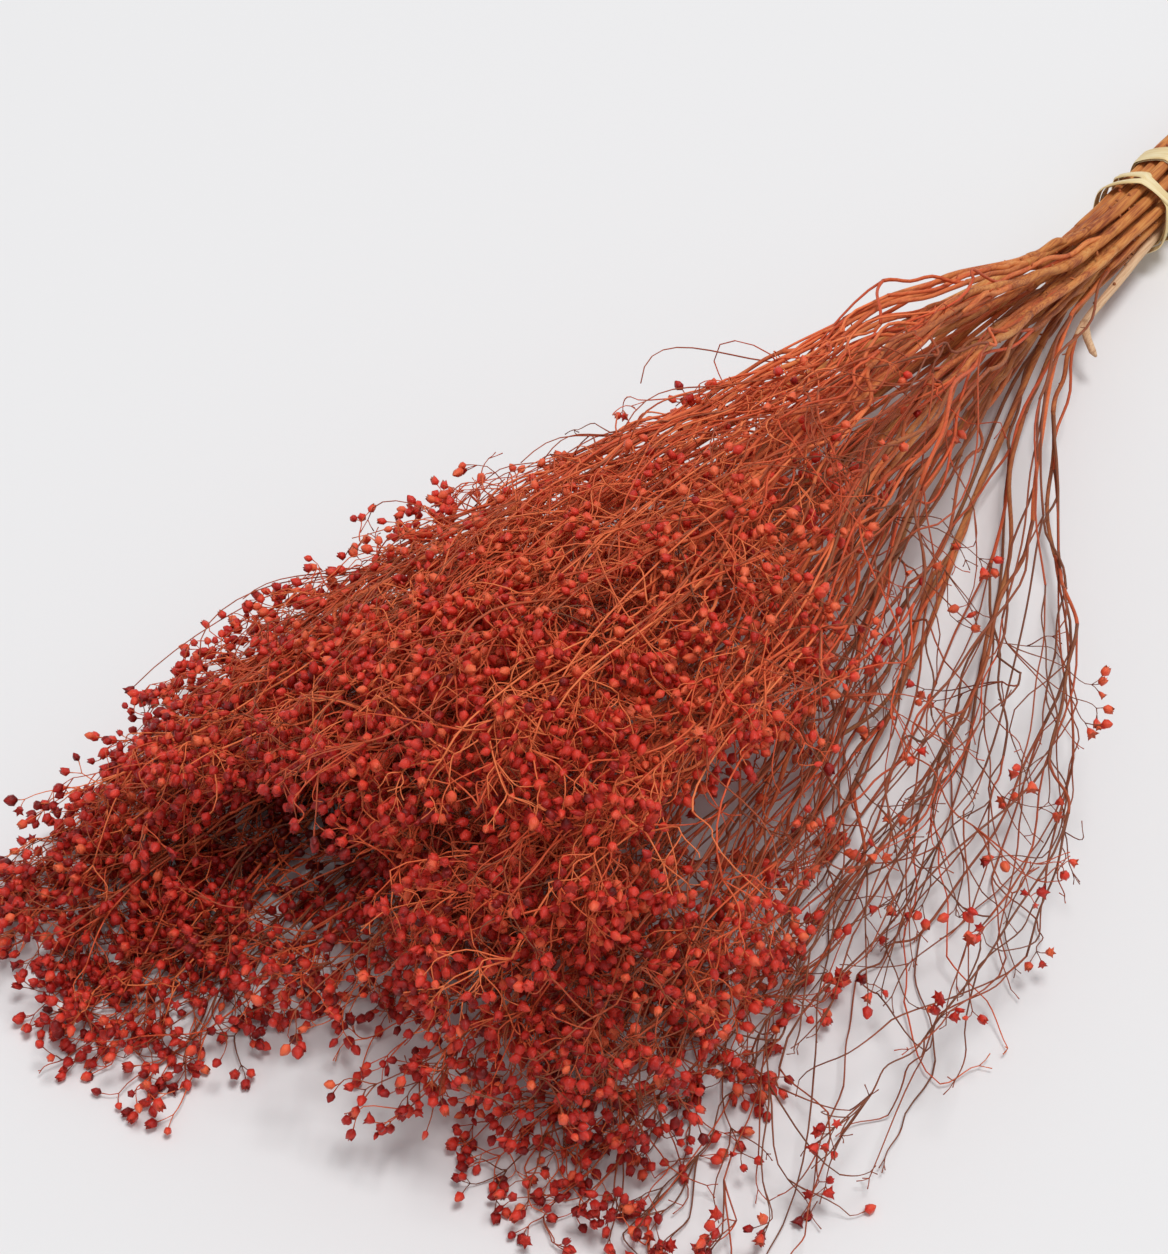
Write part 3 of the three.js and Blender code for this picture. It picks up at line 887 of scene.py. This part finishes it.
def grow_capsules(skins, base, way, loose):
    """The capsules: shut and crowned ones in equal numbers, and some open, most of them on loose ends.
    A few are starved and thin. Those at the tips ripened last and are darker."""
    count = len(base)
    big = draw.normal(1, 0.10, count)
    length = CAPSULE_LENGTH * big * draw.normal(1, 0.07, count)
    starved = draw.random(count) < STARVED[0]
    width = CAPSULE_RADIUS * big * np.where(starved, STARVED[1], draw.normal(1, 0.07, count))
    opened = draw.random(count) < np.where(loose, OPEN_SHARE[1], OPEN_SHARE[0])
    kind = np.where(opened, 2, draw.integers(0, 2, count))
    rings, low, high, tall = capsule_rings(base, way, length, width, kind, 6.28 * draw.random(count))
    # tall, read as wood by the capsule material, paints the crown paler as a painted highlight.
    tall = np.concatenate([np.repeat(tall, rings.shape[2], axis=1), [[0, 0.9]] * count], 1)
    ripe = rise(TIE_X - base[:, 0], *RIPENING)
    # The capsules' tone is darkened by painted shade towards the hollow between the two lobes.
    tone = np.clip(draw.normal(0.82 - 0.42 * ripe, 0.22), 0.12, 1) * hollow_painted_shade(base)
    skins.add(rings, low, high, looks(tone[:, None], tall), CAPSULE, (0.024, 0.016))


def grow_spray(number, tufts, begin, first_fork, full, bare, dye_level, unruly, bow):
    """Stem, forks, twigs, shoots, stalks, stray twigs and capsules of one spray, as one mesh."""
    node = f"spray_{number:02d}"
    course = bowed_course(number, bow)
    middle = course[1]
    outward = unit(middle[len(middle) // 2] - BUNCH_MIDDLE)
    s, parents, loads, points, past_edge = lay_out(
        course, outward, tufts, begin, first_fork, full, bare, unruly)
    radius = TWIG_RADIUS * loads ** THINNING * (0.85 if full < 1 else 1)
    arrive, way = headings(points, parents, loads, unruly)
    dye = draw.normal(dye_level, 0.22, len(points))
    dye -= 0.25 * (points[:, 1] < np.interp(s, *FRONT_EDGE.T)) * (full == 1)
    dye = np.clip(dye, 0, 1)
    wood = rise(radius, 0.45 * MM, 1.35 * MM)

    skins = Skins()
    grow_stem(skins, number, course, first_fork, radius[0], dye[0])
    roam = (9 if full < 1 else 6) * MM
    grow_twigs(skins, parents, points, radius, arrive, way, dye, wood, roam)
    last = loads == 1
    base, axis, loose = grow_shoots(
        skins, points[last], way[last], dye[last], past_edge, course[0][-1], outward, full, bare, unruly)
    stray_base, stray_axis = grow_strays(skins, s, points)
    base, axis = np.concatenate([base, stray_base]), np.concatenate([axis, stray_axis])
    grow_capsules(skins, base, axis, np.concatenate([loose, np.ones(len(stray_base), bool)]))
    name = f"{node}_grown"
    spray = bpy.data.objects.new(name, skins.mesh(name, [bark, capsule_skin, cut_wood]))
    bpy.context.scene.collection.objects.link(spray)
    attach(spray, "root")
    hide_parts(node)


SPRAYS = {
    # number: (tufts, first tuft, first fork, full, bare share, dye, unruly, bow), from the low front up
    1: (50, 280, 35, 1, 0.06, 0.45, 0.25, 0),
    2: (54, 250, 50, 1, 0.06, 0.45, 0.25, 0),
    3: (74, 260, 40, 1, 0.05, 0.45, 0.25, 0),
    4: (24, 240, 60, 0.3, 0.55, 0.16, 0.10, 16),
    5: (46, 270, 55, 1, 0.08, 0.45, 0.25, 0),
    6: (52, 250, 40, 1, 0.06, 0.45, 0.25, 0),
    7: (78, 270, 45, 1, 0.05, 0.45, 0.25, 0),
    8: (22, 200, 72, 0.2, 0.70, 0.12, 0.08, 24),
    9: (58, 215, 30, 1, 0.12, 0.45, 0.35, 0),
    10: (50, 205, 55, 1, 0.08, 0.50, 0.35, 0),
    11: (52, 205, 40, 1, 0.08, 0.50, 0.35, 0),
    12: (76, 250, 30, 1, 0.06, 0.55, 0.25, 0),
    13: (20, 230, 40, 0.4, 0.50, 0.20, 0.10, 20),
    14: (76, 180, 35, 1, 0.08, 0.60, 0.55, 0),
    15: (72, 180, 45, 1, 0.08, 0.60, 0.50, 0),
    16: (74, 235, 40, 1, 0.06, 0.55, 0.30, 0),
    17: (76, 185, 35, 1, 0.15, 0.65, 0.60, 0),
    18: (82, 172, 30, 1, 0.18, 0.70, 0.60, 0),
    19: (76, 180, 40, 1, 0.15, 0.70, 0.55, 0),
}
for number, (tufts, begin, first_fork, full, bare, dye_level, unruly, bow) in SPRAYS.items():
    grow_spray(number, tufts, begin * MM, first_fork * MM, full, bare, dye_level, unruly, bow * MM)


# ---- The raffia binding ------------------------------------------------------------------------
# Strips torn from dried raffia palm leaf. A broad one is wound flat round the stems, and a narrow
# one is wound over them in turns that cross, pulled tight and knotted, with its two tails left on.

RAFFIA_LAYER = 0.62 * MM
RAFFIA_THICK = 0.42 * MM
RAFFIA_SIDES = 26
TURN_STEPS = 110
UNEVEN_LIFT = 0.10 * MM
FIRST_LIFT = 0.35 * MM
CROSSING = 2.0
COURSES = [spray_course(f"spray_{number:02d}")[:2] for number in SPRAYS]


def hug(s, angle, lift):
    """Points on a strip pulled tight round the stems. Its reach h in the direction e at each angle is
    the greatest of the stems' middles that way, plus a stem's radius and the lift, averaged over a few
    degrees, and the point is h e plus the slope of h times the direction square to e."""
    middles = np.stack([ease(stations, middle, s) for stations, middle in COURSES])
    centre = middles.mean(0)
    spread = np.radians(np.linspace(-16, 16, 17))
    weight = np.cos(spread / spread[-1] * np.pi / 2.2)
    weight = weight / weight.sum()

    def reach(turn):
        """How far the stems' middles stand out at each angle, the mean over a few degrees."""
        around = turn[:, None] + spread
        e = np.stack([np.cos(around), np.sin(around)], -1)
        return (np.einsum("ipk,pok->ipo", middles - centre, e).max(0) * weight).sum(1)

    small = 0.01
    slope = (reach(angle + small) - reach(angle - small)) / (2 * small)
    far = reach(angle) + STEM_RADIUS + lift
    out = np.stack([np.cos(angle), np.sin(angle)], -1)
    aside = np.stack([-np.sin(angle), np.cos(angle)], -1)
    yz = centre + far[:, None] * out + slope[:, None] * aside
    return np.concatenate([(TIE_X - s)[:, None], yz], 1), np.concatenate([np.zeros((len(s), 1)), out], 1)


def strip(path, out, width, thick):
    """Rings of a flat strip along a path. Each is a thin oval, as wide as width and square to the path
    and to out, with its edges curled in, its faces ridged along the fibres, and its width uneven."""
    way = unit(np.gradient(path, axis=0))
    out = unit(out - (out * way).sum(1, keepdims=True) * way)
    wide = np.cross(way, out)
    along = np.linspace(0, 1, len(path))[:, None]
    turn = 2 * np.pi * np.arange(RAFFIA_SIDES) / RAFFIA_SIDES
    across = np.sign(np.cos(turn)) * np.abs(np.cos(turn)) ** 0.8
    phase = draw.random(6) * 6.28
    uneven = 1 + 0.07 * np.sin(23 * along + phase[0]) + 0.04 * np.sin(61 * along + phase[1])
    ridge = 0.10 * np.sin(13 * across + 9 * along + phase[2])
    ridge = ridge + 0.07 * np.sin(29 * across - 7 * along + phase[3])
    curl = -0.35 * np.abs(across) ** 3 * (1 + 0.5 * np.sin(31 * along + phase[4]))
    height = thick * (0.5 * np.sin(turn) + ridge + curl + 0.1 * np.sin(47 * along + phase[5]))
    side = across * uneven * width / 2
    rings = path[:, None] + wide[:, None] * side[..., None] + out[:, None] * height[..., None]
    return rings[None]


def raffia_leaf():
    """Dried raffia leaf: pale straw strips with a soft shine. across and along run over a strip in
    metres, its fibres are 0.25 mm apart, and long stretches are a little browner or greener."""
    material, tree = new_material("dried_raffia_leaf")
    across = add_node(tree, "Attribute", {"attribute_name": "across"}).outputs["Fac"]
    along = add_node(tree, "Attribute", {"attribute_name": "along"}).outputs["Fac"]
    on_strip = add_node(tree, "CombineXYZ", links={0: across, 1: along})
    fibres = add_node(tree, "Mapping", {"Scale": (4000, 60, 1)}, {"Vector": on_strip})
    fibre = add_node(tree, "TexNoise", {"Scale": 1.0, "Detail": 3.0, "Roughness": 0.65}, {"Vector": fibres})
    stretch = add_node(tree, "Mapping", {"Scale": (350, 45, 1)}, {"Vector": on_strip})
    patch = add_node(tree, "TexNoise", {"Scale": 1.0, "Detail": 2.0}, {"Vector": stretch})
    mixed = add_node(tree, "Math", {"operation": "MULTIPLY_ADD", 1: 0.6}, {0: fibre, 2: patch})
    low = add_node(tree, "Math", {"operation": "SUBTRACT", 1: 0.3}, {0: mixed})
    colour = ramp(add_node(tree, "ValToRGB", links={"Fac": low}),
                  [(0.15, "#C09A5E"), (0.4, "#E3C68C"), (0.6, "#F0DDAE"), (0.85, "#F8ECCB")])
    finish_surface(tree, {"Roughness": 0.5, "IOR": 1.45}, colour, fibre, 0.6, 0.15 * MM)
    return material


def add_strip(skins, path, out, width, thick):
    """One strip of raffia, with its own place across and along it as values."""
    rings = strip(path, out, width, thick)
    steps = np.linalg.norm(np.diff(path, axis=0), axis=1)
    along = draw.random() + np.concatenate([[0], np.cumsum(steps)])
    turn = 2 * np.pi * np.arange(RAFFIA_SIDES) / RAFFIA_SIDES
    across = np.broadcast_to(width / 2 * np.cos(turn), (len(path), RAFFIA_SIDES)).ravel() + draw.random()
    values = {
        "across": np.concatenate([across, [across.mean()] * 2])[None],
        "along": np.concatenate([np.repeat(along, RAFFIA_SIDES), along[[0, -1]]])[None],
    }
    skins.add(rings, path[:1], path[-1:], values, 0, (0.9, 0.06))


def wind(middle, turns, start_angle, sway, drift, first_lift):
    """Path of a strip round the stems: the angle grows evenly, the strip sways along the bunch by a
    sine that changes side every turn, so that turns cross at CROSSING, steps on by drift, and climbs
    a layer with each turn."""
    turned = np.linspace(0, turns, int(TURN_STEPS * turns))
    s = middle + sway * np.sin(np.pi * turned - (CROSSING - start_angle) / 2) + drift * (turned - turns / 2)
    lift = first_lift + RAFFIA_LAYER * turned + UNEVEN_LIFT * np.sin(5.3 * turned)
    return hug(s, start_angle + 2 * np.pi * turned, lift)


raffia = raffia_leaf()


def finish_raffia(name, skins, node):
    """Makes the piece out of its strips, in place of the CAD node."""
    piece = bpy.data.objects.new(name, skins.mesh(name, [raffia]))
    bpy.context.scene.collection.objects.link(piece)
    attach(piece, "root")
    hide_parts(node)


BAND_WIDTH = 9.0 * MM
band = Skins()
path, out = wind(-20 * MM, 2.4, 2.2, 0.8 * MM, 0.6 * MM, FIRST_LIFT)
add_strip(band, path, out, BAND_WIDTH, RAFFIA_THICK)
finish_raffia("raffia_band_wound", band, "raffia_band")

TIE_STRIPS = ((0.0, 2.5 * MM), (1.6 * MM, 1.7 * MM))
TIE_TURNS = 4.0
TIE_SWAY = 6.5 * MM
TIE_DRIFT = 1.2 * MM
KNOT_ANGLE = -1.0
KNOT_SIZE = 1.3 * MM
KNOT_HEIGHT = 1.2 * MM
KNOT_WIDTH = 2.2 * MM
TAIL_WIDTH = 2.3 * MM
TAILS = ((0.95, 52 * MM), (0.6, 38 * MM))

tie = Skins()
for shift, width in TIE_STRIPS:
    path, out = wind(shift, TIE_TURNS, KNOT_ANGLE, TIE_SWAY, TIE_DRIFT, FIRST_LIFT + 0.2 * shift)
    add_strip(tie, path, out, width, RAFFIA_THICK)

# The knot is a trefoil: (sin t + 2 sin 2t, cos t - 2 cos 2t, -0.9 sin 3t), flat against the stems.
knot_at, knot_out = path[-1] + out[-1] * KNOT_HEIGHT, out[-1]
t = np.linspace(0.15, 2 * np.pi - 0.15, 90)
trefoil = np.stack([np.sin(t) + 2 * np.sin(2 * t), np.cos(t) - 2 * np.cos(2 * t), -0.9 * np.sin(3 * t)], 1)
frame_of_knot = np.stack([(1, 0, 0), np.cross(knot_out, (1, 0, 0)), knot_out])
knot = knot_at + KNOT_SIZE * trefoil @ frame_of_knot
add_strip(tie, knot, unit(np.cross(np.gradient(knot, axis=0), knot_out)), KNOT_WIDTH, RAFFIA_THICK)

# A tail falls to the table by a parabola, runs along it with two sine bends, and narrows to its end.
for way_on, length in TAILS:
    t = np.linspace(0, 1, 50)[:, None]
    drop = (knot_at[2] - KNOT_HEIGHT) * (1 - (1 - np.minimum(t * 1.6, 1)) ** 2)
    bends = 6 * MM * np.sin(1.7 * t) + 1.5 * MM * np.sin(9 * t)
    tail = knot_at + np.concatenate([way_on * length * t, bends, -drop], 1)
    facing = np.tile(unit(knot_out + [0, 0.3, 0.8]), (len(t), 1))
    add_strip(tie, tail, facing, TAIL_WIDTH * (1 - 0.5 * t ** 3), RAFFIA_THICK)
finish_raffia("raffia_tie_wound", tie, "raffia_tie")


# ---- Floor, light and camera -------------------------------------------------------------------
# A plain pale table top, a big soft light from nearly straight above, and an even pale surround.

def table_top():
    """Pale painted board, matt. It isn't part of the bunch."""
    material, tree = new_material("pale_table_top")
    shader = add_node(tree, "BsdfPrincipled",
                      {"Base Color": linear("#E9E9EA"), "Roughness": 0.7, "Specular IOR Level": 0.2})
    add_node(tree, "OutputMaterial", links={"Surface": shader})
    return material


FLOOR_SIDE = 40.0
floor_mesh = bpy.data.meshes.new("table_top")
side = FLOOR_SIDE / 2
floor_mesh.from_pydata([(-side, -side, 0), (side, -side, 0), (side, side, 0), (-side, side, 0)], [],
                       [(0, 1, 2, 3)])
floor_mesh.materials.append(table_top())
floor = bpy.data.objects.new("table_top", floor_mesh)
bpy.context.scene.collection.objects.link(floor)

world = bpy.data.worlds.new("pale_surround")
world.use_nodes = True
surround = world.node_tree.nodes["Background"]
surround.inputs["Color"].default_value = linear("#F4F4F5")
surround.inputs["Strength"].default_value = 0.52
bpy.context.scene.world = world


def aim_from(thing, stand, way):
    """Puts a light or camera where it stands and turns it to look along the way, with +Z upwards."""
    thing.location = stand
    thing.rotation_mode = "QUATERNION"
    thing.rotation_quaternion = Vector(way).to_track_quat("-Z", "Y")
    bpy.context.scene.collection.objects.link(thing)


WINDOW_SIDE = 2.8
WINDOW_WATTS = 415
WINDOW_STAND = np.array([0.6, -1.2, 8.2])
BUNCH_CENTRE = np.array([0, 0, 0.03])
light = bpy.data.lights.new("window", "AREA")
light.size = WINDOW_SIDE
light.energy = WINDOW_WATTS
aim_from(bpy.data.objects.new("window", light), WINDOW_STAND, BUNCH_CENTRE - WINDOW_STAND)

camera_data = bpy.data.cameras.new("camera")
camera_data.lens = 80
camera_data.sensor_width = 36
camera_data.clip_start = 0.05
camera = bpy.data.objects.new("camera", camera_data)
AZIMUTH, ELEVATION, DISTANCE = np.radians(-53), np.radians(47), 0.87
LOOKED_AT = np.array([TIE_X - 0.2989, 0.0390, 0.03])
level = np.cos(ELEVATION)
back = np.array([np.sin(AZIMUTH) * level, -np.cos(AZIMUTH) * level, np.sin(ELEVATION)])
aim_from(camera, LOOKED_AT + back * DISTANCE, -back)
bpy.context.scene.camera = camera
bpy.context.scene.view_settings.view_transform = "Standard"
